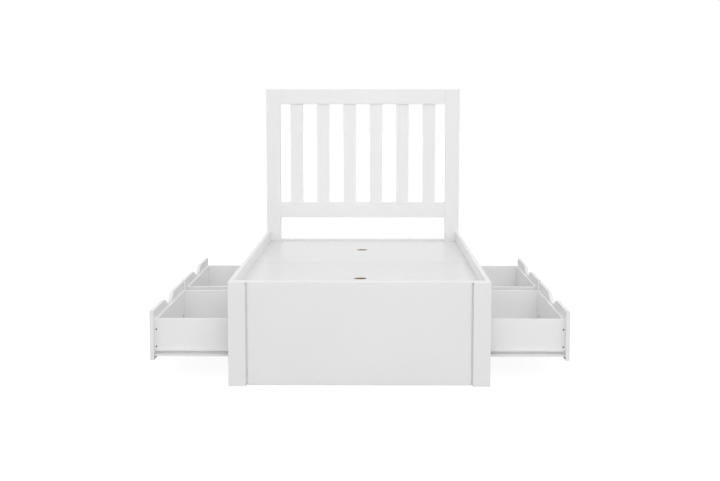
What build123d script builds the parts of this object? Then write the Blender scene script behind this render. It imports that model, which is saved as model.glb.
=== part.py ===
from build123d import *
import os

# Single bed frame with a slatted headboard, a solid deck and four drawers, two on each side.
# X runs across the bed, Y along it towards the headboard, and Z up from the floor. The origin is on
# the floor under the middle of the bed. The drawers stand open, as far as their slides let them.

# Overall sizes, in millimetres
BED_WIDTH = 1060
BED_LENGTH = 2030
HEAD_HEIGHT = 1211
SIDE_HEIGHT = 427
DECK_TOP = 376

# Posts and headboard
FOOT_POST_WIDTH = 70
HEAD_POST_WIDTH = 76
POST_DEPTH = 50
EDGE_ROUND = 2.5
PANEL_RECESS = 9
PANEL_THICK = 36
PANEL_FLOOR_GAP = 4
SHADOW_GROOVE_WIDTH = 8
SHADOW_GROOVE_DEPTH = 6
SHADOW_GROOVE_TOP_GAP = 4
SHADOW_GROOVE_CORNER = 7
HEAD_RAIL_THICK = 32
HEAD_RAIL_RECESS = 5
TOP_RAIL_HEIGHT = 81
LOWER_RAIL_BOTTOM = 506
LOWER_RAIL_HEIGHT = 84
SLAT_COUNT = 6
SLAT_WIDTH = 68
SLAT_THICK = 18
SLAT_PITCH = 145.4
SLAT_EDGE_ROUND = 1.5
TENON_LENGTH = 10
TENON_THICK = 10
TENON_SHOULDER = 6

# Sides and what carries the deck
SIDE_BOARD_THICK = 18
SIDE_EDGE_ROUND = 1.5
SIDE_RAIL_BOTTOM = 292
PLINTH_BOTTOM = 8
PLINTH_TOP = 80
PARTITION_THICK = 18
BLOCK_WIDTH = 40
LEDGER_WIDTH = 20
LEDGER_HEIGHT = 28
DECK_THICK = 15
DECK_GAP = 0.5
DECK_SEAM = 3
DECK_TONGUE_REACH = 10
FINGER_HOLE_RADIUS = 28
FINGER_HOLE_Y = 540
FINGER_SCOOP_RADIUS = 60
HEAD_CROSS_THICK = 30
HEAD_CROSS_HEIGHT = 140
HEAD_CROSS_TOP = DECK_TOP + 10
HEAD_CROSS_BACK_INSET = 8

# Drawers
DRAWER_TRAVEL = 337
FRONT_THICK = 16
FRONT_LENGTH = 870
FRONT_BOTTOM = 83
FRONT_TOP = 289
FRONT_ROUND = 2.5
FRONT_GAP = 52
FIT_GAP = 3
NOTCH_TOP_HALF = 127
NOTCH_BOTTOM_HALF = 52
NOTCH_DEPTH = 32
NOTCH_ROUND = 70
BOX_OVERHANG = 33
BOX_BOTTOM = 96
BOX_TOP = 252
BOX_DEPTH = 450
BOX_BOARD = 12
BOX_EDGE_ROUND = 1.5
BOTTOM_THICK = 6
BOTTOM_RISE = 12
GROOVE_DEPTH = 6

# Roller slides. Offsets run outwards from the face of the drawer's side.
SLIDE_CLEARANCE = 12.7
STEEL = 1.2
FLANGE_REACH = 9
FLANGE_UNDERSIDE = 122
FLANGE_LIP_BOTTOM = 117.2
FOOT_REACH = 9
FOOT_CLEARANCE = 0.5
CHANNEL_BOTTOM = 106
CHANNEL_TOP = 125
CHANNEL_LIP_OFFSET = 2
CHANNEL_LENGTH = 450
FRONT_ROLLER_RADIUS = 7
FRONT_ROLLER_SETBACK = 12
REAR_ROLLER_RADIUS = 8
REAR_ROLLER_SETBACK = 15
REAR_ROLLER_CLEAR = 30
ROLLER_OFFSET = 2.6
ROLLER_WIDTH = 6
AXLE_RADIUS = 2
RUNNING_CLEARANCE = 0.05
ROLLING_GAP = 0.3

# Fasteners
SCREW_RADIUS = 1.9
SCREW_HEAD_RADIUS = 3.3
SCREW_HEAD_HEIGHT = 2.2
SCREW_SUNK = 0.4
SCREW_LENGTH = 32
HOLE_CLEARANCE = 0.1
SIDE_SCREW_HEIGHTS = (134, 207)
FACE_SCREW_HEIGHT = 140
FACE_SCREW_SPREADS = (-330, -110, 110, 330)
CAM_RADIUS = 7.5
CAM_DEPTH = 11
CAM_SETBACK = 24
CAM_HEIGHTS = (318, 400)
CAM_BOLT_RADIUS = 3
CAM_BOLT_BITE = 15

# Worked out from the sizes above
HALF_WIDTH = BED_WIDTH / 2
HALF_LENGTH = BED_LENGTH / 2
POST_FACE_Y = HALF_LENGTH - POST_DEPTH
FOOT_INNER_X = HALF_WIDTH - FOOT_POST_WIDTH
HEAD_INNER_X = HALF_WIDTH - HEAD_POST_WIDTH
PANEL_FRONT_Y = HALF_LENGTH - PANEL_RECESS
PANEL_BACK_Y = PANEL_FRONT_Y - PANEL_THICK
SIDE_OUTER_X = HALF_WIDTH
SIDE_INNER_X = SIDE_OUTER_X - SIDE_BOARD_THICK
DECK_UNDERSIDE = DECK_TOP - DECK_THICK
HEAD_RAIL_Y = (POST_FACE_Y + HEAD_RAIL_RECESS, POST_FACE_Y + HEAD_RAIL_RECESS + HEAD_RAIL_THICK)
HEAD_RAIL_MIDDLE_Y = sum(HEAD_RAIL_Y) / 2
HEAD_CROSS_BACK_Y = HALF_LENGTH - HEAD_CROSS_BACK_INSET
HEAD_CROSS_Y = (HEAD_CROSS_BACK_Y - HEAD_CROSS_THICK, HEAD_CROSS_BACK_Y)
LOWER_RAIL_TOP = LOWER_RAIL_BOTTOM + LOWER_RAIL_HEIGHT
TOP_RAIL_BOTTOM = HEAD_HEIGHT - TOP_RAIL_HEIGHT
SLAT_CENTRES = [SLAT_PITCH * (index - (SLAT_COUNT - 1) / 2) for index in range(SLAT_COUNT)]

FRONT_Y = (FRONT_GAP / 2, FRONT_GAP / 2 + FRONT_LENGTH)
FRONT_MIDDLE_Y = sum(FRONT_Y) / 2
BOX_Y = (FRONT_Y[0] + BOX_OVERHANG, FRONT_Y[1] - BOX_OVERHANG)
FRONT_OUTER_X = SIDE_OUTER_X + DRAWER_TRAVEL
FRONT_INNER_X = FRONT_OUTER_X - FRONT_THICK
BOX_BACK_X = FRONT_INNER_X - BOX_DEPTH
BOTTOM_UNDERSIDE = BOX_BOTTOM + BOTTOM_RISE
BOTTOM_TOP = BOTTOM_UNDERSIDE + BOTTOM_THICK
PARTITION_NEAR = BOX_Y[0] - SLIDE_CLEARANCE
PARTITION_FAR = BOX_Y[1] + SLIDE_CLEARANCE
FRONT_ROLLER_X = SIDE_INNER_X - FRONT_ROLLER_SETBACK
FRONT_ROLLER_Z = FLANGE_UNDERSIDE - ROLLING_GAP - FRONT_ROLLER_RADIUS
REAR_ROLLER_X = BOX_BACK_X + REAR_ROLLER_SETBACK
REAR_ROLLER_Z = (CHANNEL_BOTTOM + CHANNEL_TOP) / 2

SCREW_BORE_RADIUS = SCREW_RADIUS + HOLE_CLEARANCE
SCREW_HEAD_BORE_RADIUS = SCREW_HEAD_RADIUS + HOLE_CLEARANCE

SIDES = {"left": -1, "right": 1}
ENDS = {"foot": -1, "head": 1}

os.makedirs("parts", exist_ok=True)


def save(piece, name):
    """Labels a finished piece and writes it under its own name."""
    piece.part.label = name
    export_step(piece.part, f"parts/{name}.step")


def board(x, y, z, mode=Mode.ADD):
    """Adds or cuts a block that spans x, y and z, each a pair of ends in either order."""
    lows = [min(pair) for pair in (x, y, z)]
    sizes = [abs(pair[1] - pair[0]) for pair in (x, y, z)]
    with Locations(tuple(lows)):
        Box(*sizes, align=(Align.MIN, Align.MIN, Align.MIN), mode=mode)


def rod(start, axis, length, radius, mode=Mode.ADD):
    """Adds or cuts a round bar from start along a signed axis vector."""
    with Locations(Plane(origin=start, z_dir=axis)):
        Cylinder(radius, length, align=(Align.CENTER, Align.CENTER, Align.MIN), mode=mode)


def times(sign, pair):
    """Both ends of a pair, multiplied by a side's sign."""
    return sign * pair[0], sign * pair[1]


def symmetric(half):
    """The pair that runs from minus half to plus half."""
    return -half, half


def cam_holes(side, end):
    """Bores for the cam bolts of one corner, cut from the part being built."""
    for height in CAM_HEIGHTS:
        face_y = end * (POST_FACE_Y - CAM_SETBACK)
        bolt_x = side * (SIDE_INNER_X + CAM_DEPTH / 2)
        reach = CAM_SETBACK + CAM_BOLT_BITE
        rod((bolt_x, face_y, height), (0, end, 0), reach, CAM_BOLT_RADIUS + HOLE_CLEARANCE, Mode.SUBTRACT)


def make_post(name, side, end, width, height):
    """A square-cut post with softened edges and a flat foot."""
    x = times(side, (HALF_WIDTH - width, HALF_WIDTH))
    with BuildPart() as post:
        board(x, times(end, (POST_FACE_Y, HALF_LENGTH)), (0, height))
        upright = post.edges().filter_by(Axis.Z)
        top = post.faces().sort_by(Axis.Z)[-1].edges()
        fillet(upright + top, radius=EDGE_ROUND)
        cam_holes(side, end)
        if end > 0:
            for low, high in ((LOWER_RAIL_BOTTOM, LOWER_RAIL_TOP), (TOP_RAIL_BOTTOM, HEAD_HEIGHT)):
                rail_tenon(side, low, high, Mode.SUBTRACT)
    save(post, name)


def rail_tenon(side, low, high, mode):
    """The stub tenon that joins a headboard rail to the post on one side, or its mortise."""
    x = times(side, (HEAD_INNER_X, HEAD_INNER_X + TENON_LENGTH))
    y = (HEAD_RAIL_MIDDLE_Y - TENON_THICK / 2, HEAD_RAIL_MIDDLE_Y + TENON_THICK / 2)
    board(x, y, (low + TENON_SHOULDER, high - TENON_SHOULDER), mode)


def slat_tenon(centre, base, direction, mode):
    """The stub tenon at one end of a headboard slat, or its mortise."""
    x = (centre - SLAT_WIDTH / 2 + TENON_SHOULDER, centre + SLAT_WIDTH / 2 - TENON_SHOULDER)
    y = (HEAD_RAIL_MIDDLE_Y - TENON_THICK / 2, HEAD_RAIL_MIDDLE_Y + TENON_THICK / 2)
    board(x, y, (base, base + direction * TENON_LENGTH), mode)


def make_head_rail(name, low, high, slat_face, direction):
    """A headboard rail with tenons into both posts and a mortise for every slat."""
    with BuildPart() as rail:
        board(symmetric(HEAD_INNER_X), HEAD_RAIL_Y, (low, high))
        fillet(rail.edges().filter_by(Axis.X), radius=EDGE_ROUND)
        for side in SIDES.values():
            rail_tenon(side, low, high, Mode.ADD)
        for centre in SLAT_CENTRES:
            slat_tenon(centre, slat_face, direction, Mode.SUBTRACT)
    save(rail, name)


def make_slat(name, centre):
    """One upright slat, thinner than the rails, with a tenon at each end."""
    with BuildPart() as slat:
        x = (centre - SLAT_WIDTH / 2, centre + SLAT_WIDTH / 2)
        y = (HEAD_RAIL_MIDDLE_Y - SLAT_THICK / 2, HEAD_RAIL_MIDDLE_Y + SLAT_THICK / 2)
        board(x, y, (LOWER_RAIL_TOP, TOP_RAIL_BOTTOM))
        fillet(slat.edges().filter_by(Axis.Z), radius=SLAT_EDGE_ROUND)
        slat_tenon(centre, LOWER_RAIL_TOP, -1, Mode.ADD)
        slat_tenon(centre, TOP_RAIL_BOTTOM, 1, Mode.ADD)
    save(slat, name)


def make_headboard():
    """Posts, rails and slats of the head end, and the rail that ties the posts under the mattress."""
    for side_name, side in SIDES.items():
        make_post(f"head_post_{side_name}", side, 1, HEAD_POST_WIDTH, HEAD_HEIGHT)
    make_head_rail("headboard_top_rail", TOP_RAIL_BOTTOM, HEAD_HEIGHT, TOP_RAIL_BOTTOM, 1)
    make_head_rail("headboard_lower_rail", LOWER_RAIL_BOTTOM, LOWER_RAIL_TOP, LOWER_RAIL_TOP, -1)
    for index, centre in enumerate(SLAT_CENTRES, start=1):
        make_slat(f"headboard_slat_{index}", centre)
    with BuildPart() as cross_rail:
        board(symmetric(HEAD_INNER_X), HEAD_CROSS_Y, (HEAD_CROSS_TOP - HEAD_CROSS_HEIGHT, HEAD_CROSS_TOP))
        fillet(cross_rail.edges().filter_by(Axis.X), radius=EDGE_ROUND)
    save(cross_rail, "head_cross_rail")


def make_footboard():
    """Foot posts and the solid panel between them, with a shadow groove beside each post."""
    for side_name, side in SIDES.items():
        make_post(f"foot_post_{side_name}", side, -1, FOOT_POST_WIDTH, SIDE_HEIGHT)
    groove_top = SIDE_HEIGHT - SHADOW_GROOVE_TOP_GAP
    groove_middle = FOOT_INNER_X - SHADOW_GROOVE_WIDTH / 2
    groove_height = groove_top - PANEL_FLOOR_GAP
    with BuildPart() as panel:
        board(symmetric(FOOT_INNER_X), (-PANEL_FRONT_Y, -PANEL_BACK_Y), (PANEL_FLOOR_GAP, SIDE_HEIGHT))
        fillet(panel.edges().filter_by(Axis.X), radius=EDGE_ROUND)
        with BuildSketch(Plane.XZ.offset(PANEL_FRONT_Y)) as groove:
            with Locations((-groove_middle, PANEL_FLOOR_GAP), (groove_middle, PANEL_FLOOR_GAP)):
                Rectangle(SHADOW_GROOVE_WIDTH, groove_height, align=(Align.CENTER, Align.MIN))
            inner_corners = groove.vertices().group_by(Axis.Y)[-1].sort_by(Axis.X)[1:3]
            fillet(inner_corners, radius=SHADOW_GROOVE_CORNER)
        extrude(amount=-SHADOW_GROOVE_DEPTH, mode=Mode.SUBTRACT)
    save(panel, "footboard_panel")


def make_side_rails():
    """The long rails above the drawers, bored for the cam connectors at both ends."""
    pocket_depth = CAM_DEPTH + HOLE_CLEARANCE
    pocket_radius = CAM_RADIUS + HOLE_CLEARANCE
    for side_name, side in SIDES.items():
        with BuildPart() as rail:
            x = times(side, (SIDE_INNER_X, SIDE_OUTER_X))
            board(x, symmetric(POST_FACE_Y), (SIDE_RAIL_BOTTOM, SIDE_HEIGHT))
            fillet(rail.edges().filter_by(Axis.Y), radius=SIDE_EDGE_ROUND)
            for end in ENDS.values():
                cam_holes(side, end)
                for height in CAM_HEIGHTS:
                    centre = (side * SIDE_INNER_X, end * (POST_FACE_Y - CAM_SETBACK), height)
                    rod(centre, (side, 0, 0), pocket_depth, pocket_radius, Mode.SUBTRACT)
        save(rail, f"side_rail_{side_name}")


def make_rail_connectors():
    """Cam discs in the side rails and the bolts that they pull, two at each corner."""
    with BuildPart() as connectors:
        for side in SIDES.values():
            for end in ENDS.values():
                for height in CAM_HEIGHTS:
                    cam_y = POST_FACE_Y - CAM_SETBACK
                    rod((side * SIDE_INNER_X, end * cam_y, height), (side, 0, 0), CAM_DEPTH, CAM_RADIUS)
                    bolt_x = side * (SIDE_INNER_X + CAM_DEPTH / 2)
                    bolt_start = cam_y + CAM_RADIUS + HOLE_CLEARANCE
                    bolt_length = POST_FACE_Y + CAM_BOLT_BITE - HOLE_CLEARANCE - bolt_start
                    rod((bolt_x, end * bolt_start, height), (0, end, 0), bolt_length, CAM_BOLT_RADIUS)
    save(connectors, "rail_connectors")


def make_side_faces():
    """The plinth rails under the drawers and the stiles between and beside them."""
    side_span = (SIDE_INNER_X, SIDE_OUTER_X)
    end_stile = (FRONT_Y[1] + FIT_GAP, POST_FACE_Y)
    with BuildPart() as plinths:
        for side in SIDES.values():
            board(times(side, side_span), symmetric(POST_FACE_Y), (PLINTH_BOTTOM, PLINTH_TOP))
        fillet(plinths.edges().filter_by(Axis.Y), radius=SIDE_EDGE_ROUND)
    save(plinths, "plinth_rails")
    with BuildPart() as stiles:
        for side in SIDES.values():
            board(times(side, side_span), symmetric(FRONT_Y[0] - FIT_GAP), (PLINTH_TOP, SIDE_RAIL_BOTTOM))
            for end in ENDS.values():
                board(times(side, side_span), times(end, end_stile), (PLINTH_TOP, SIDE_RAIL_BOTTOM))
        fillet(stiles.edges().filter_by(Axis.Z), radius=SIDE_EDGE_ROUND)
    save(stiles, "side_stiles")


def make_supports():
    """What carries the deck: boards across the bed, spine boards under its middle, blocks and ledgers."""
    end_block = (PARTITION_FAR + PARTITION_THICK, POST_FACE_Y)
    bay = (PARTITION_NEAR, PARTITION_FAR)
    block_z = (PLINTH_BOTTOM, SIDE_RAIL_BOTTOM)
    ledger_z = (DECK_UNDERSIDE - LEDGER_HEIGHT, DECK_UNDERSIDE)
    with BuildPart() as partitions:
        for end in ENDS.values():
            for face in (PARTITION_NEAR - PARTITION_THICK, PARTITION_FAR):
                y = times(end, (face, face + PARTITION_THICK))
                board(symmetric(SIDE_INNER_X), y, (0, DECK_UNDERSIDE))
    save(partitions, "partition_boards")
    with BuildPart() as supports:
        for end in ENDS.values():
            board(symmetric(PARTITION_THICK / 2), times(end, bay), (0, DECK_UNDERSIDE))
            scoop_start = (-PARTITION_THICK / 2, end * FINGER_HOLE_Y, DECK_UNDERSIDE)
            rod(scoop_start, (1, 0, 0), PARTITION_THICK, FINGER_SCOOP_RADIUS, Mode.SUBTRACT)
        for side in SIDES.values():
            block_x = times(side, (SIDE_INNER_X - BLOCK_WIDTH, SIDE_INNER_X))
            ledger_x = times(side, (SIDE_INNER_X - LEDGER_WIDTH, SIDE_INNER_X))
            board(block_x, symmetric(PARTITION_NEAR - PARTITION_THICK), block_z)
            for end in ENDS.values():
                board(block_x, times(end, end_block), block_z)
                board(ledger_x, times(end, bay), ledger_z)
        foot_ledger_y = (-PANEL_BACK_Y, LEDGER_WIDTH - PANEL_BACK_Y)
        board(symmetric(FOOT_INNER_X), foot_ledger_y, ledger_z)
    save(supports, "deck_supports")


def make_deck():
    """Two loose panels that carry the mattress, each with a finger hole to lift it by."""
    deck_half = SIDE_INNER_X - DECK_GAP
    tongue_end = HEAD_CROSS_Y[0] - DECK_GAP
    deck_end = POST_FACE_Y - DECK_GAP
    deck_z = (DECK_UNDERSIDE, DECK_TOP)
    for end_name, end in ENDS.items():
        hole_start = (0, end * FINGER_HOLE_Y, DECK_UNDERSIDE)
        with BuildPart() as panel:
            board(symmetric(deck_half), times(end, (DECK_SEAM / 2, deck_end)), deck_z)
            if end > 0:
                board(symmetric(HEAD_INNER_X - DECK_GAP), (deck_end, tongue_end), deck_z)
            rod(hole_start, (0, 0, 1), DECK_THICK, FINGER_HOLE_RADIUS, Mode.SUBTRACT)
        save(panel, f"deck_panel_{end_name}")


def slide_faces(end):
    """For each side board of a drawer: the Y of its outer face and the outward direction."""
    return (end * BOX_Y[0], -end), (end * BOX_Y[1], end)


def make_drawer_front(name, side, end):
    """The face of a drawer, with a wide finger notch in its top edge and pilot holes in its back."""
    middle = end * FRONT_MIDDLE_Y
    with BuildPart() as front:
        with BuildSketch(Plane.YZ.offset(side * FRONT_INNER_X)) as outline:
            with Locations((middle, (FRONT_TOP + FRONT_BOTTOM) / 2)):
                Rectangle(FRONT_LENGTH, FRONT_TOP - FRONT_BOTTOM)
            with BuildLine():
                Polyline(
                    (middle - NOTCH_TOP_HALF, FRONT_TOP),
                    (middle - NOTCH_BOTTOM_HALF, FRONT_TOP - NOTCH_DEPTH),
                    (middle + NOTCH_BOTTOM_HALF, FRONT_TOP - NOTCH_DEPTH),
                    (middle + NOTCH_TOP_HALF, FRONT_TOP),
                    close=True,
                )
            make_face(mode=Mode.SUBTRACT)
            corners = outline.vertices()
            notch_corners = corners.filter_by(lambda corner: abs(corner.X - middle) < FRONT_LENGTH / 4)
            fillet(notch_corners, radius=NOTCH_ROUND)
        extrude(amount=side * FRONT_THICK)
        outer = front.faces().filter_by(Axis.X).sort_by(Axis.X)[-1 if side > 0 else 0]
        fillet(outer.edges(), radius=FRONT_ROUND)
        for y, z in face_screw_places(end):
            start = (side * FRONT_INNER_X, y, z)
            rod(start, (side, 0, 0), FRONT_THICK / 2, SCREW_BORE_RADIUS, Mode.SUBTRACT)
    save(front, name)


def face_screw_places(end):
    """Y and Z of the screws that hold the face to the box."""
    return [(end * FRONT_MIDDLE_Y + spread, FACE_SCREW_HEIGHT) for spread in FACE_SCREW_SPREADS]


def side_screw_places(side):
    """X and Z of the screws through each side board, into the box's front and back."""
    inset = BOX_BOARD / 2
    front_row = [(side * (FRONT_INNER_X - inset), z) for z in SIDE_SCREW_HEIGHTS]
    back_row = [(side * (BOX_BACK_X + inset), z) for z in SIDE_SCREW_HEIGHTS]
    return front_row + back_row


def make_box_sides(name, side, end):
    """Both side boards, grooved for the bottom and bored for the screws."""
    length = times(side, (BOX_BACK_X, FRONT_INNER_X))
    with BuildPart() as sides:
        for face, outward in slide_faces(end):
            inner = face - outward * BOX_BOARD
            board(length, (inner, face), (BOX_BOTTOM, BOX_TOP))
        top_edges = sides.faces().filter_by(Axis.Z).group_by(Axis.Z)[-1].edges().filter_by(Axis.X)
        fillet(top_edges, radius=BOX_EDGE_ROUND)
        for face, outward in slide_faces(end):
            inner = face - outward * BOX_BOARD
            groove_y = (inner, inner + outward * GROOVE_DEPTH)
            board(length, groove_y, (BOTTOM_UNDERSIDE, BOTTOM_TOP), Mode.SUBTRACT)
            for x, z in side_screw_places(side):
                start = (x, face, z)
                sink = SCREW_SUNK + SCREW_HEAD_HEIGHT
                rod(start, (0, -outward, 0), BOX_BOARD, SCREW_BORE_RADIUS, Mode.SUBTRACT)
                rod(start, (0, -outward, 0), sink, SCREW_HEAD_BORE_RADIUS, Mode.SUBTRACT)
    save(sides, name)


def cut_end_screws(x, end):
    """Screw bores in both ends of a board that stands between the sides at x."""
    reach = SCREW_LENGTH - BOX_BOARD
    for face, outward in slide_faces(end):
        for z in SIDE_SCREW_HEIGHTS:
            start = (x, face - outward * BOX_BOARD, z)
            rod(start, (0, -outward, 0), reach, SCREW_BORE_RADIUS, Mode.SUBTRACT)


def make_box_front(name, side, end):
    """The board behind the face, between the sides, grooved for the bottom."""
    y = times(end, (BOX_Y[0] + BOX_BOARD, BOX_Y[1] - BOX_BOARD))
    inner_x = FRONT_INNER_X - BOX_BOARD
    with BuildPart() as box_front:
        board(times(side, (inner_x, FRONT_INNER_X)), y, (BOX_BOTTOM, BOX_TOP))
        top_edges = box_front.faces().sort_by(Axis.Z)[-1].edges().filter_by(Axis.Y)
        fillet(top_edges, radius=BOX_EDGE_ROUND)
        groove_x = times(side, (inner_x, inner_x + GROOVE_DEPTH))
        board(groove_x, y, (BOTTOM_UNDERSIDE, BOTTOM_TOP), Mode.SUBTRACT)
        cut_end_screws(side * (inner_x + BOX_BOARD / 2), end)
        for hole_y, z in face_screw_places(end):
            rod((side * inner_x, hole_y, z), (side, 0, 0), BOX_BOARD, SCREW_BORE_RADIUS, Mode.SUBTRACT)
    save(box_front, name)


def make_box_back(name, side, end):
    """The back board, which stands on the bottom."""
    y = times(end, (BOX_Y[0] + BOX_BOARD, BOX_Y[1] - BOX_BOARD))
    with BuildPart() as box_back:
        board(times(side, (BOX_BACK_X, BOX_BACK_X + BOX_BOARD)), y, (BOTTOM_TOP, BOX_TOP))
        top_edges = box_back.faces().sort_by(Axis.Z)[-1].edges().filter_by(Axis.Y)
        fillet(top_edges, radius=BOX_EDGE_ROUND)
        cut_end_screws(side * (BOX_BACK_X + BOX_BOARD / 2), end)
    save(box_back, name)


def make_box_bottom(name, side, end):
    """The thin bottom, held in the grooves of the sides and the box front."""
    edge = BOX_BOARD - GROOVE_DEPTH
    with BuildPart() as bottom:
        x = times(side, (BOX_BACK_X, FRONT_INNER_X - edge))
        board(x, times(end, (BOX_Y[0] + edge, BOX_Y[1] - edge)), (BOTTOM_UNDERSIDE, BOTTOM_TOP))
    save(bottom, name)


def make_drawer_screws(name, side, end):
    """Screws through the sides into the front and back boards, and through the box front into the face."""
    with BuildPart() as screws:
        for face, outward in slide_faces(end):
            for x, z in side_screw_places(side):
                head_y = face - outward * SCREW_SUNK
                shank_y = head_y - outward * SCREW_HEAD_HEIGHT
                rod((x, head_y, z), (0, -outward, 0), SCREW_HEAD_HEIGHT, SCREW_HEAD_RADIUS)
                shank = SCREW_LENGTH - SCREW_HEAD_HEIGHT - 2 * SCREW_SUNK
                rod((x, shank_y, z), (0, -outward, 0), shank, SCREW_RADIUS)
        inner_x = FRONT_INNER_X - BOX_BOARD
        for y, z in face_screw_places(end):
            head_x = side * (inner_x - SCREW_HEAD_HEIGHT)
            rod((head_x, y, z), (side, 0, 0), SCREW_HEAD_HEIGHT, SCREW_HEAD_RADIUS)
            face_shank = BOX_BOARD + FRONT_THICK / 2 - SCREW_SUNK
            rod((side * inner_x, y, z), (side, 0, 0), face_shank, SCREW_RADIUS)
    save(screws, name)


def make_slide_members(name, side, end):
    """The steel profiles under both sides: a lipped flange to run on, a foot and the rear axle."""
    length = times(side, (BOX_BACK_X, FRONT_INNER_X))
    flange_x = times(side, (BOX_BACK_X + REAR_ROLLER_CLEAR, FRONT_INNER_X))
    with BuildPart() as members:
        for face, outward in slide_faces(end):
            web = (face, face + outward * STEEL)
            leg = (face - outward * BOX_BOARD, face + outward * STEEL)
            flange_edge = face + outward * FLANGE_REACH
            flange_lip = (flange_edge, flange_edge + outward * STEEL)
            foot_edge = face + outward * FOOT_REACH
            foot_lip = (foot_edge - outward * STEEL, foot_edge)
            board(length, web, (BOX_BOTTOM - STEEL, FLANGE_UNDERSIDE + STEEL))
            board(length, leg, (BOX_BOTTOM - STEEL, BOX_BOTTOM))
            board(flange_x, (face, flange_edge), (FLANGE_UNDERSIDE, FLANGE_UNDERSIDE + STEEL))
            board(flange_x, flange_lip, (FLANGE_LIP_BOTTOM, FLANGE_UNDERSIDE + STEEL))
            board(length, (face, foot_edge), (BOX_BOTTOM - STEEL, BOX_BOTTOM))
            board(length, foot_lip, (BOX_BOTTOM - STEEL, CHANNEL_BOTTOM - FOOT_CLEARANCE))
            axle_length = ROLLER_OFFSET + ROLLER_WIDTH + ROLLING_GAP
            rod((side * REAR_ROLLER_X, face, REAR_ROLLER_Z), (0, outward, 0), axle_length, AXLE_RADIUS)
    save(members, name)


def make_rollers(name, side, end, x, z, radius):
    """Two nylon rollers on one line, one at each slide of a drawer."""
    with BuildPart() as rollers:
        for face, outward in slide_faces(end):
            start = (side * x, face + outward * ROLLER_OFFSET, z)
            rod(start, (0, outward, 0), ROLLER_WIDTH, radius)
            rod(start, (0, outward, 0), ROLLER_WIDTH, AXLE_RADIUS + RUNNING_CLEARANCE, Mode.SUBTRACT)
    save(rollers, name)


def make_drawer(side_name, end_name):
    """All the pieces of one drawer, and the two rollers of the bed that carry it."""
    side = SIDES[side_name]
    end = ENDS[end_name]
    drawer = f"drawer_{side_name}_{end_name}"
    make_drawer_front(f"{drawer}_front", side, end)
    make_box_front(f"{drawer}_box_front", side, end)
    make_box_back(f"{drawer}_box_back", side, end)
    make_box_sides(f"{drawer}_box_sides", side, end)
    make_box_bottom(f"{drawer}_bottom", side, end)
    make_slide_members(f"{drawer}_slide_members", side, end)
    make_drawer_screws(f"{drawer}_screws", side, end)
    make_rollers(f"{drawer}_rear_rollers", side, end, REAR_ROLLER_X, REAR_ROLLER_Z, REAR_ROLLER_RADIUS)
    bay = f"bay_{side_name}_{end_name}"
    make_rollers(f"{bay}_front_rollers", side, end, FRONT_ROLLER_X, FRONT_ROLLER_Z, FRONT_ROLLER_RADIUS)


def make_cabinet_slides():
    """Steel channels on the partitions, open towards the drawers, each with its front roller's axle."""
    length = (SIDE_INNER_X - CHANNEL_LENGTH, SIDE_INNER_X)
    with BuildPart() as channels:
        for side in SIDES.values():
            x = times(side, length)
            for end in ENDS.values():
                for face, outward in slide_faces(end):
                    lip = face + outward * CHANNEL_LIP_OFFSET
                    panel = face + outward * SLIDE_CLEARANCE
                    board(x, (panel - outward * STEEL, panel), (CHANNEL_BOTTOM, CHANNEL_TOP))
                    board(x, (lip, panel), (CHANNEL_BOTTOM, CHANNEL_BOTTOM + STEEL))
                    board(x, (lip, panel), (CHANNEL_TOP - STEEL, CHANNEL_TOP))
                    start = (side * FRONT_ROLLER_X, panel, FRONT_ROLLER_Z)
                    axle_length = SLIDE_CLEARANCE - ROLLER_OFFSET + ROLLING_GAP
                    rod(start, (0, -outward, 0), axle_length, AXLE_RADIUS)
    save(channels, "cabinet_slides")


def main():
    """Makes every piece of the bed."""
    make_footboard()
    make_headboard()
    make_side_rails()
    make_rail_connectors()
    make_side_faces()
    make_supports()
    make_deck()
    make_cabinet_slides()
    for side_name in SIDES:
        for end_name in ENDS:
            make_drawer(side_name, end_name)


main()
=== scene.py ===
import math

import bmesh
import bpy
from mathutils import Matrix, Vector


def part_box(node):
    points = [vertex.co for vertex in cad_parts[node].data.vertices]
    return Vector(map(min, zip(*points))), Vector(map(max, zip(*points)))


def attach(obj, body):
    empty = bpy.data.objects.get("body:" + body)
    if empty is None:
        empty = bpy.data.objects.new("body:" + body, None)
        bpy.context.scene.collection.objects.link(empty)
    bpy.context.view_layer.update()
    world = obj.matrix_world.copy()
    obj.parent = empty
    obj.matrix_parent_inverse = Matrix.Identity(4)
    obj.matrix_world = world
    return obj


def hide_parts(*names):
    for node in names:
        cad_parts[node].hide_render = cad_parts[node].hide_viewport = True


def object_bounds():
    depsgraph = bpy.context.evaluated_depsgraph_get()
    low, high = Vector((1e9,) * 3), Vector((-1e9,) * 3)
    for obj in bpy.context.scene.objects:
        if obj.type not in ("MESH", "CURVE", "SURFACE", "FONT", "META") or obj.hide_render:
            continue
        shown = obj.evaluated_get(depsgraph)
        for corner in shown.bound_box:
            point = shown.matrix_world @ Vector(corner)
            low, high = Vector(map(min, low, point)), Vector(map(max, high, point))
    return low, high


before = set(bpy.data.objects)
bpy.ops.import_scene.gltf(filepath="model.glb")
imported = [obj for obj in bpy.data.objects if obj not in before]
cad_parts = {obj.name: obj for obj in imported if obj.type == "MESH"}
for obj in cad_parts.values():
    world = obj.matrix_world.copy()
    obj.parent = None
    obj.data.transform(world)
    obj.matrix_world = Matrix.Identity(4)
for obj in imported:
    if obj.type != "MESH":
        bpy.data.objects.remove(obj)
cad_low, cad_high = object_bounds()

MM = 0.001
SIDES = {"left": -1, "right": 1}
ENDS = {"foot": -1, "head": 1}
DRAWERS = [f"{side}_{end}" for side in SIDES for end in ENDS]

# Camera, in metres and degrees
CAMERA_AHEAD = 5.13
CAMERA_ASIDE = 0.051
CAMERA_HEIGHT = 1.1565
CAMERA_PITCH = 6.246
CAMERA_YAW = 0.537
LENS_MM = 64.53
SENSOR_MM = 36.0

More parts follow.
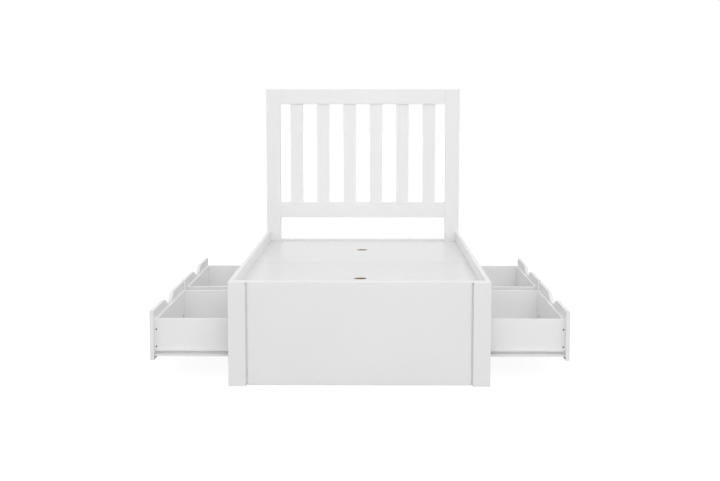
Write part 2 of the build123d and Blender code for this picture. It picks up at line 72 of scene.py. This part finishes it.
# Light
SKY_HORIZON = 1.3
SKY_TOP = 0.7
BACKDROP = 1.0
MIRRORED = 0.92
KEY_PLACE = (1.2, -4.5, 5.0)
KEY_TARGET = (0, 0, 0.5)
KEY_SIZE = (4.0, 3.0)
KEY_WATTS = 60
FILL_PLACE = (0.0, -3.5, 1.15)
FILL_TARGET = (0, 1.0, 0.95)
FILL_SIZE = (1.0, 0.5)
FILL_WATTS = 0.22
FILL_SPREAD = 28
FLOOR_SIZE = 80.0
SEEN_FLOOR_ALBEDO = 0.14
SEEN_FLOOR_GLOW = 0.93
BOUNCE_FLOOR_ALBEDO = 0.6
BOUNCE_FLOOR_DROP = 1 * MM

# Fittings, in metres
FINGER_HOLE_RADIUS = 28 * MM
FINGER_HOLE_Y = 540 * MM
LAMINATE = 0.4 * MM
BOARD = 12 * MM
SCREW_SUNK = 0.4 * MM
SCREW_HEAD_RADIUS = 3.3 * MM
SCREW_HEAD_HEIGHT = 2.2 * MM
SCREW_RADIUS = 1.9 * MM
SCREW_CORE = 1.35 * MM
SCREW_PITCH = 1.8 * MM
SIDE_SCREW_LENGTH = 31.2 * MM
FACE_SCREW_LENGTH = 21.8 * MM
SIDE_SCREW_HEIGHTS = (134 * MM, 207 * MM)
FACE_SCREW_HEIGHT = 140 * MM
FACE_SCREW_SPREADS = (-330 * MM, -110 * MM, 110 * MM, 330 * MM)
ROLLER_WIDTH = 6 * MM
AXLE_BORE = 2.05 * MM
CAM_RADIUS = 7.5 * MM
CAM_DEPTH = 11 * MM
CAM_SETBACK = 24 * MM
CAM_HEIGHTS = (318 * MM, 400 * MM)
CAM_BOLT_GAP = 0.1 * MM
CAM_BOLT_BITE = 14.9 * MM


# ---------------------------------------------------------------- node helpers

class Nodes:
    """A material's node tree, with short ways to add and join nodes."""

    def __init__(self, name):
        self.material = bpy.data.materials.new(name)
        self.material.use_nodes = True
        self.tree = self.material.node_tree
        self.tree.nodes.clear()
        self.shader = self.add("ShaderNodeBsdfPrincipled")
        output = self.add("ShaderNodeOutputMaterial")
        self.join(self.shader.outputs["BSDF"], output.inputs["Surface"])
        self.place = self.add("ShaderNodeTexCoord").outputs["Object"]

    def add(self, kind, **settings):
        node = self.tree.nodes.new(kind)
        for key, value in settings.items():
            setattr(node, key, value)
        return node

    def join(self, source, target):
        self.tree.links.new(source, target)

    def put(self, socket, value):
        """Joins a node's output to the socket, or sets a plain value on it."""
        if isinstance(value, bpy.types.NodeSocket):
            self.join(value, socket)
        else:
            socket.default_value = value

    def math(self, operation, first, second=0.0, clamp=False):
        node = self.add("ShaderNodeMath", operation=operation, use_clamp=clamp)
        self.put(node.inputs[0], first)
        self.put(node.inputs[1], second)
        return node.outputs[0]

    def stretched(self, scales, turn=(0.0, 0.0, 0.0)):
        """Object coordinates, scaled along X, Y and Z."""
        mapping = self.add("ShaderNodeMapping")
        mapping.inputs["Scale"].default_value = scales
        mapping.inputs["Rotation"].default_value = turn
        self.join(self.place, mapping.inputs["Vector"])
        return mapping.outputs["Vector"]

    def noise(self, vector, scale=1.0, detail=3.0, rough=0.5, distortion=0.0):
        node = self.add("ShaderNodeTexNoise")
        self.join(vector, node.inputs["Vector"])
        node.inputs["Scale"].default_value = scale
        node.inputs["Detail"].default_value = detail
        node.inputs["Roughness"].default_value = rough
        node.inputs["Distortion"].default_value = distortion
        return node.outputs["Fac"]

    def ramp(self, value, *stops):
        """Colours, or grey values, along a value: each stop is (position, colour or grey)."""
        node = self.add("ShaderNodeValToRGB")
        elements = node.color_ramp.elements
        while len(elements) < len(stops):
            elements.new(0.5)
        for element, (position, colour) in zip(elements, stops):
            element.position = position
            neutral = isinstance(colour, (int, float))
            element.color = (colour, colour, colour, 1.0) if neutral else (*colour, 1.0)
        self.join(value, node.inputs["Fac"])
        return node.outputs["Color"]

    def mix(self, share, first, second, blend="MIX"):
        node = self.add("ShaderNodeMix", data_type="RGBA", blend_type=blend)
        self.put(node.inputs["Factor"], share)
        self.put(node.inputs["A"], first)
        self.put(node.inputs["B"], second)
        return node.outputs["Result"]

    def range(self, value, low, high):
        """Maps 0 to 1 onto low to high."""
        node = self.add("ShaderNodeMapRange")
        self.join(value, node.inputs["Value"])
        node.inputs["To Min"].default_value = low
        node.inputs["To Max"].default_value = high
        return node.outputs["Result"]

    def bump(self, height, distance, strength=1.0, under=None):
        node = self.add("ShaderNodeBump")
        self.join(height, node.inputs["Height"])
        node.inputs["Distance"].default_value = distance
        node.inputs["Strength"].default_value = strength
        if under is not None:
            self.join(under, node.inputs["Normal"])
        return node.outputs["Normal"]

    def finish(self, colour, roughness, normal=None, **sockets):
        self.put(self.shader.inputs["Base Color"], colour)
        self.put(self.shader.inputs["Roughness"], roughness)
        if normal is not None:
            self.join(normal, self.shader.inputs["Normal"])
        for key, value in sockets.items():
            self.shader.inputs[key.replace("_", " ")].default_value = value
        return self.material


# ---------------------------------------------------------------- materials

def along(axis, long, across):
    """Scales for a texture that runs along one axis, 0 to 2."""
    scales = [across] * 3
    scales[axis] = long
    return scales


def grey(value):
    """An opaque neutral colour."""
    return (value, value, value, 1.0)


def white_paint(name, axis, tone, roughness, grain_depth):
    """Sprayed white paint on solid wood: faint grain along the board, fine orange peel, uneven sheen."""
    n = Nodes(name)
    fibres = n.noise(n.stretched(along(axis, 5, 240)), detail=5, rough=0.62, distortion=0.3)
    figure = n.noise(n.stretched(along(axis, 1.3, 22)), detail=3, distortion=0.6)
    cloud = n.noise(n.place, scale=3.2, detail=2)
    peel = n.noise(n.place, scale=420, detail=2, rough=0.4)
    base = n.ramp(cloud, (0.3, tone * 0.985), (0.7, tone * 1.008))
    grained = n.mix(n.range(fibres, 0.0, 0.05), base, grey(tone * 0.93))
    colour = n.mix(n.range(figure, 0.0, 0.035), grained, grey(tone * 0.95))
    sheen = n.math("ADD", n.range(cloud, roughness - 0.03, roughness + 0.03), n.range(fibres, -0.03, 0.03))
    relief = n.bump(fibres, grain_depth, under=n.bump(peel, 0.00001))
    return n.finish(colour, sheen, relief, Specular_IOR_Level=0.45)


def board_finish(name, tone, roughness):
    """White foil on a board: nearly flat, with a fine pressed texture."""
    n = Nodes(name)
    cloud = n.noise(n.place, scale=2.4, detail=2)
    press = n.noise(n.place, scale=650, detail=2, rough=0.5)
    base = n.ramp(cloud, (0.3, tone * 0.995), (0.7, tone * 1.003))
    speckle = n.mix(n.range(press, 0.0, 0.03), base, grey(tone * 0.95))
    sheen = n.math("ADD", n.range(cloud, roughness - 0.01, roughness + 0.01), n.range(press, -0.01, 0.01))
    return n, speckle, sheen, n.bump(press, 0.000004)


def drawer_box_finish():
    n, colour, sheen, relief = board_finish("drawer_box_paint", 0.89, 0.42)
    return n.finish(colour, sheen, relief)


def deck_finish():
    """The deck's white foil, with the raw chipboard core showing inside the finger holes."""
    n, colour, sheen, relief = board_finish("deck_board", 0.76, 0.16)
    split = n.add("ShaderNodeSeparateXYZ")
    n.join(n.place, split.inputs["Vector"])
    from_hole = n.math("SUBTRACT", n.math("ABSOLUTE", split.outputs["Y"]), FINGER_HOLE_Y)
    radius_squared = n.math("ADD", n.math("POWER", split.outputs["X"], 2), n.math("POWER", from_hole, 2))
    in_hole = n.math("LESS_THAN", radius_squared, (FINGER_HOLE_RADIUS + LAMINATE) ** 2)
    deck_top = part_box("deck_panel_foot")[1].z
    below_foil = n.math("LESS_THAN", split.outputs["Z"], deck_top - LAMINATE)
    core = n.math("MULTIPLY", in_hole, below_foil)
    chips = n.add("ShaderNodeTexVoronoi", feature="F1")
    n.join(n.stretched((450, 450, 900)), chips.inputs["Vector"])
    chips.inputs["Scale"].default_value = 1.0
    brown = n.ramp(
        chips.outputs["Color"],
        (0.0, (0.22, 0.13, 0.075)),
        (0.5, (0.38, 0.25, 0.15)),
        (1.0, (0.55, 0.4, 0.26)),
    )
    return n.finish(
        n.mix(core, colour, brown),
        n.math("ADD", sheen, n.math("MULTIPLY", core, 0.5)),
        relief,
        Specular_IOR_Level=0.3,
    )


def raw_pine():
    """Planed pine: growth rings cut along the board, and fibres."""
    n = Nodes("raw_pine")
    rings = n.add("ShaderNodeTexWave", wave_type="RINGS", rings_direction="Y", wave_profile="SAW")
    n.join(n.stretched((14, 0.7, 14)), rings.inputs["Vector"])
    rings.inputs["Scale"].default_value = 1.0
    rings.inputs["Distortion"].default_value = 5.0
    rings.inputs["Detail"].default_value = 3.0
    rings.inputs["Detail Scale"].default_value = 1.2
    fibres = n.noise(n.stretched((300, 6, 300)), detail=4)
    wood = n.ramp(
        rings.outputs["Fac"],
        (0.0, (0.72, 0.52, 0.30)),
        (0.75, (0.62, 0.40, 0.20)),
        (1.0, (0.47, 0.27, 0.12)),
    )
    colour = n.mix(n.range(fibres, 0.0, 0.35), wood, (0.5, 0.33, 0.18, 1.0))
    return n.finish(colour, n.range(fibres, 0.55, 0.75), n.bump(fibres, 0.0002))


def enamel():
    """White powder coat on the drawer slides."""
    n = Nodes("slide_enamel")
    peel = n.noise(n.place, scale=300, detail=2)
    smudge = n.noise(n.place, scale=9, detail=3)
    colour = n.ramp(smudge, (0.3, (0.84, 0.84, 0.84)), (0.7, (0.88, 0.88, 0.88)))
    return n.finish(colour, n.range(smudge, 0.28, 0.4), n.bump(peel, 0.00006))


def nylon():
    """Moulded white nylon."""
    n = Nodes("roller_nylon")
    cloud = n.noise(n.place, scale=60, detail=3)
    colour = n.ramp(cloud, (0.3, (0.74, 0.74, 0.71)), (0.7, (0.8, 0.8, 0.78)))
    return n.finish(colour, n.range(cloud, 0.42, 0.52), Subsurface_Weight=0.15)


def bronze():
    """Dark bronze-plated screws, brighter where the driver has rubbed."""
    n = Nodes("screw_bronze")
    rub = n.noise(n.place, scale=700, detail=3)
    colour = n.ramp(rub, (0.3, (0.06, 0.036, 0.028)), (0.7, (0.13, 0.08, 0.06)))
    return n.finish(colour, n.range(rub, 0.35, 0.55), Metallic=0.6)


def zinc():
    """Zinc die castings and plated bolts."""
    n = Nodes("connector_zinc")
    cast = n.noise(n.place, scale=500, detail=3)
    colour = n.ramp(cast, (0.3, (0.5, 0.51, 0.53)), (0.7, (0.68, 0.69, 0.71)))
    return n.finish(colour, n.range(cast, 0.3, 0.5), n.bump(cast, 0.00008), Metallic=1.0)


PAINT_TONE = 0.85
PAINT = {
    axis: white_paint(f"white_paint_{name}", axis, PAINT_TONE, 0.36, 0.00002)
    for axis, name in enumerate("xyz")
}
MATERIALS = {
    "deck_board": deck_finish(),
    "drawer_box_paint": drawer_box_finish(),
    "raw_pine": raw_pine(),
    "slide_enamel": enamel(),
    "roller_nylon": nylon(),
    "screw_bronze": bronze(),
    "connector_zinc": zinc(),
}


def slot_of(node):
    """The record's material slot of a CAD node, from its name."""
    if "roller" in node:
        return "roller_nylon"
    if node.endswith("_screws"):
        return "screw_bronze"
    if node == "rail_connectors":
        return "connector_zinc"
    if node == "cabinet_slides" or node.endswith("slide_members"):
        return "slide_enamel"
    if node == "deck_supports":
        return "raw_pine"
    if node.startswith("deck_panel"):
        return "deck_board"
    if "_box_" in node or node.endswith("_bottom"):
        return "drawer_box_paint"
    return "white_paint"


def longest_axis(node):
    """0, 1 or 2: the axis that a board runs along."""
    low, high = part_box(node)
    sizes = high - low
    return max(range(3), key=lambda axis: sizes[axis])


GRAIN_AXES = {"side_stiles": 2, "partition_boards": 0}


def dress(node, piece):
    """Gives a CAD node its material."""
    slot = slot_of(node)
    if slot == "white_paint":
        material = PAINT[GRAIN_AXES.get(node, longest_axis(node))]
    else:
        material = MATERIALS[slot]
    piece.data.materials.clear()
    piece.data.materials.append(material)


for node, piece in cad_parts.items():
    dress(node, piece)


# ---------------------------------------------------------------- small fittings

def ring(radius, height, count):
    """A ring of points about Z. The radius is a length, or a function of the angle."""
    points = []
    for step in range(count):
        angle = 2 * math.pi * step / count
        reach = radius(angle) if callable(radius) else radius
        points.append(Vector((reach * math.cos(angle), reach * math.sin(angle), height)))
    return points


def skin(rings, closed=False):
    """Joins rings with quads. An open skin is capped at both ends, and a closed one returns to its start."""
    count = len(rings[0])
    points = [point for row in rings for point in row]
    faces = []
    for row in range(len(rings) if closed else len(rings) - 1):
        after = (row + 1) % len(rings)
        for step in range(count):
            beside = (step + 1) % count
            near = (row * count + step, row * count + beside)
            far = (after * count + beside, after * count + step)
            faces.append(near + far)
    if not closed:
        faces.append(tuple(range(count)))
        faces.append(tuple(range(len(points) - count, len(points))))
    return points, faces


def cross(width, length):
    """The outline of a cross-shaped driver recess, as a radius for each angle."""
    def radius(angle):
        folded = abs((angle + math.pi / 4) % (math.pi / 2) - math.pi / 4)
        on_arm = math.tan(folded) <= width / length
        return length / math.cos(folded) if on_arm else width / math.sin(folded)
    return radius


def recessed_top(radius, width, length, depth, edge, count):
    """Rings from the bottom of a cross recess up to the top face and out over its broken edge."""
    return [
        ring(cross(width * 0.6, length * 0.5), -depth, count),
        ring(cross(width, length), -0.1 * MM, count),
        ring(cross(width * 1.12, length * 1.04), 0, count),
        ring(radius - edge, 0, count),
        ring(radius, -edge, count),
    ]


def thread(top, bottom):
    """Rings of a helical wood-screw thread that tapers to a point."""
    rings = []
    steps = int((top - bottom) / (SCREW_PITCH / 3))
    for step in range(steps + 1):
        height = top + (bottom - top) * step / steps
        taper = min(1.0, 0.15 + (height - bottom) / (4 * MM))

        def radius(angle, height=height, taper=taper):
            turn = (height / SCREW_PITCH + angle / (2 * math.pi)) % 1.0
            crest = max(0.0, 1 - 3 * abs(turn - 0.5))
            return taper * (SCREW_CORE + (SCREW_RADIUS - SCREW_CORE) * crest)
        rings.append(ring(radius, height, 24))
    return rings


def screw(length):
    """A countersunk screw with a cross recess. The top of its head is at the origin, and it points down Z."""
    rings = recessed_top(SCREW_HEAD_RADIUS, 0.5 * MM, 1.9 * MM, 1.3 * MM, 0.2 * MM, 24)
    rings.append(ring(SCREW_HEAD_RADIUS - 0.1 * MM, -0.6 * MM, 24))
    rings.append(ring(SCREW_CORE, -SCREW_HEAD_HEIGHT, 24))
    return skin(rings + thread(-SCREW_HEAD_HEIGHT - 1 * MM, -length))


def roller(radius, width):
    """A nylon wheel with a hub, recessed webs and a rounded rim, from the origin up Z."""
    half = [
        (AXLE_BORE, 0.3 * MM),
        (AXLE_BORE + 0.3 * MM, 0),
        (AXLE_BORE + 1.3 * MM, 0),
        (AXLE_BORE + 1.5 * MM, 1.2 * MM),
        (radius - 1.9 * MM, 1.2 * MM),
        (radius - 1.7 * MM, 0),
        (radius - 0.8 * MM, 0),
        (radius - 0.25 * MM, 0.25 * MM),
        (radius, 0.8 * MM),
    ]
    profile = half + [(reach, width - height) for reach, height in reversed(half)]
    return skin([ring(reach, height, 48) for reach, height in profile], closed=True)


def cam():
    """The disc of a cam connector. Its slotted face is at the origin, and it reaches down Z."""
    rings = recessed_top(CAM_RADIUS, 1.1 * MM, 4.4 * MM, 2.5 * MM, 0.4 * MM, 48)
    for height, reach in ((-3.5, 7.5), (-3.8, 6.9), (-7.6, 6.9), (-7.9, 7.5), (-11, 7.5)):
        rings.append(ring(reach * MM, height * MM, 48))
    return skin(rings)


def cam_bolt(length):
    """The bolt that a cam pulls, with a head, a neck and a ribbed end, from the origin up Z."""
    steps = [(2.6, 0), (3.0, 0.4), (3.0, 2.2), (1.9, 2.9), (1.9, 7.0), (3.0, 7.4), (3.0, 14.0)]
    steps += [(2.5 + 0.5 * (index % 2), 15.0 + index) for index in range(15)]
    rings = [ring(reach * MM, height * MM, 24) for reach, height in steps]
    rings.append(ring(2.2 * MM, length, 24))
    return skin(rings)


def facing(place, direction):
    """The matrix that moves a fitting to a place and turns its Z to a direction."""
    return Matrix.Translation(place) @ Vector(direction).to_track_quat("Z", "Y").to_matrix().to_4x4()


def add_fittings(node, body, copies):
    """One piece that stands for a CAD node, made of (shape, matrix) copies."""
    points = []
    faces = []
    for (shape_points, shape_faces), matrix in copies:
        start = len(points)
        points += [matrix @ point for point in shape_points]
        faces += [tuple(start + index for index in face) for face in shape_faces]
    mesh = bpy.data.meshes.new(f"{node}_detail")
    mesh.from_pydata(points, [], faces)
    edit = bmesh.new()
    edit.from_mesh(mesh)
    bmesh.ops.recalc_face_normals(edit, faces=edit.faces)
    edit.to_mesh(mesh)
    edit.free()
    mesh.shade_smooth()
    mesh.set_sharp_from_angle(angle=math.radians(32))
    mesh.materials.append(MATERIALS[slot_of(node)])
    piece = bpy.data.objects.new(f"{node}_detail", mesh)
    bpy.context.scene.collection.objects.link(piece)
    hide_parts(node)
    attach(piece, body)


def drawer_screws(drawer):
    """The screws through the box sides, and those through the box front into the face."""
    low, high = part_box(f"drawer_{drawer}_box_sides")
    side = SIDES[drawer.split("_")[0]]
    side_screw = screw(SIDE_SCREW_LENGTH)
    face_screw = screw(FACE_SCREW_LENGTH)
    copies = []
    for x in (low.x + BOARD / 2, high.x - BOARD / 2):
        for z in SIDE_SCREW_HEIGHTS:
            copies.append((side_screw, facing((x, low.y + SCREW_SUNK, z), (0, -1, 0))))
            copies.append((side_screw, facing((x, high.y - SCREW_SUNK, z), (0, 1, 0))))
    outer_x = high.x if side > 0 else low.x
    head_x = outer_x - side * (BOARD + SCREW_HEAD_HEIGHT)
    for spread in FACE_SCREW_SPREADS:
        place = (head_x, (low.y + high.y) / 2 + spread, FACE_SCREW_HEIGHT)
        copies.append((face_screw, facing(place, (-side, 0, 0))))
    return copies


def roller_pair(node):
    """The two wheels of a roller node, one at each end of its box."""
    low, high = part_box(node)
    radius = (high.x - low.x) / 2
    wheel = roller(radius, ROLLER_WIDTH)
    x = (low.x + high.x) / 2
    z = (low.z + high.z) / 2
    return [(wheel, facing((x, low.y, z), (0, 1, 0))), (wheel, facing((x, high.y, z), (0, -1, 0)))]


def connectors():
    """Cam discs and bolts at the four corners."""
    rail_low, rail_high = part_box("side_rail_right")
    post_face = rail_high.y
    bolt_start = post_face - CAM_SETBACK + CAM_RADIUS + CAM_BOLT_GAP
    disc = cam()
    bolt = cam_bolt(post_face + CAM_BOLT_BITE - bolt_start)
    copies = []
    for side in SIDES.values():
        for end in ENDS.values():
            for z in CAM_HEIGHTS:
                face = (side * rail_low.x, end * (post_face - CAM_SETBACK), z)
                copies.append((disc, facing(face, (-side, 0, 0))))
                root = (side * (rail_low.x + CAM_DEPTH / 2), end * bolt_start, z)
                copies.append((bolt, facing(root, (0, end, 0))))
    return copies


for drawer in DRAWERS:
    add_fittings(f"drawer_{drawer}_screws", f"drawer_{drawer}", drawer_screws(drawer))
    for node in (f"drawer_{drawer}_rear_rollers", f"bay_{drawer}_front_rollers"):
        add_fittings(node, node, roller_pair(node))
add_fittings("rail_connectors", "frame", connectors())


# ---------------------------------------------------------------- stage

def add_plane(name, z, albedo, glow):
    """A wide level plane with one plain material."""
    mesh = bpy.data.meshes.new(name)
    half = FLOOR_SIZE / 2
    corners = [(-half, -half, 0), (half, -half, 0), (half, half, 0), (-half, half, 0)]
    mesh.from_pydata(corners, [], [(0, 1, 2, 3)])
    plane = bpy.data.objects.new(name, mesh)
    plane.location.z = z
    bpy.context.scene.collection.objects.link(plane)
    n = Nodes(name)
    n.finish(grey(albedo), 0.9, Specular_IOR_Level=0.1, Emission_Strength=glow)
    n.shader.inputs["Emission Color"].default_value = grey(1.0)
    mesh.materials.append(n.material)
    return plane


def add_floor():
    """The white floor that shows, and just under it the one that light bounces from."""
    seen = add_plane("floor", cad_low.z, SEEN_FLOOR_ALBEDO, SEEN_FLOOR_GLOW)
    seen.visible_diffuse = False
    seen.visible_glossy = False
    seen.visible_shadow = False
    bounce = add_plane("bounce_floor", cad_low.z - BOUNCE_FLOOR_DROP, BOUNCE_FLOOR_ALBEDO, 0.0)
    bounce.visible_camera = False


def background(tree, strength):
    """A white background of a fixed strength, or one driven by a node's output."""
    node = tree.nodes.new("ShaderNodeBackground")
    node.inputs["Color"].default_value = grey(1.0)
    if isinstance(strength, bpy.types.NodeSocket):
        tree.links.new(strength, node.inputs["Strength"])
    else:
        node.inputs["Strength"].default_value = strength
    return node.outputs[0]


def choose(tree, share, first, second):
    """Mixes two shaders by a share."""
    node = tree.nodes.new("ShaderNodeMixShader")
    tree.links.new(share, node.inputs[0])
    tree.links.new(first, node.inputs[1])
    tree.links.new(second, node.inputs[2])
    return node.outputs[0]


def add_sky():
    """A soft light tent, brighter at the horizon than overhead. It mirrors evenly and looks plain white."""
    world = bpy.data.worlds.new("studio")
    bpy.context.scene.world = world
    world.use_nodes = True
    tree = world.node_tree
    tree.nodes.clear()
    place = tree.nodes.new("ShaderNodeTexCoord")
    split = tree.nodes.new("ShaderNodeSeparateXYZ")
    tree.links.new(place.outputs["Generated"], split.inputs["Vector"])
    rise = tree.nodes.new("ShaderNodeMapRange")
    tree.links.new(split.outputs["Z"], rise.inputs["Value"])
    rise.inputs["To Min"].default_value = SKY_HORIZON
    rise.inputs["To Max"].default_value = SKY_TOP
    path = tree.nodes.new("ShaderNodeLightPath")
    light = background(tree, rise.outputs["Result"])
    unseen = choose(tree, path.outputs["Is Glossy Ray"], light, background(tree, MIRRORED))
    sky = choose(tree, path.outputs["Is Camera Ray"], unseen, background(tree, BACKDROP))
    output = tree.nodes.new("ShaderNodeOutputWorld")
    tree.links.new(sky, output.inputs["Surface"])


def add_softbox(name, place, target, size, power, spread=180):
    """A rectangular lamp that faces its target and doesn't show."""
    lamp = bpy.data.lights.new(name, "AREA")
    lamp.shape = "RECTANGLE"
    lamp.size = size[0]
    lamp.size_y = size[1]
    lamp.energy = power
    lamp.spread = math.radians(spread)
    softbox = bpy.data.objects.new(name, lamp)
    softbox.location = place
    softbox.rotation_euler = (Vector(target) - Vector(place)).to_track_quat("-Z", "Y").to_euler()
    softbox.visible_camera = False
    bpy.context.scene.collection.objects.link(softbox)


def add_camera():
    """A level camera in front of the foot end, pitched down a little."""
    data = bpy.data.cameras.new("camera")
    data.lens = LENS_MM
    data.sensor_width = SENSOR_MM
    camera = bpy.data.objects.new("camera", data)
    camera.location = (CAMERA_ASIDE, cad_low.y - CAMERA_AHEAD, CAMERA_HEIGHT)
    camera.rotation_euler = (math.radians(90 - CAMERA_PITCH), 0.0, math.radians(CAMERA_YAW))
    bpy.context.scene.collection.objects.link(camera)
    bpy.context.scene.camera = camera


add_floor()
add_sky()
add_softbox("key", KEY_PLACE, KEY_TARGET, KEY_SIZE, KEY_WATTS)
add_softbox("headboard_fill", FILL_PLACE, FILL_TARGET, FILL_SIZE, FILL_WATTS, FILL_SPREAD)
add_camera()
bpy.context.scene.view_settings.view_transform = "Standard"
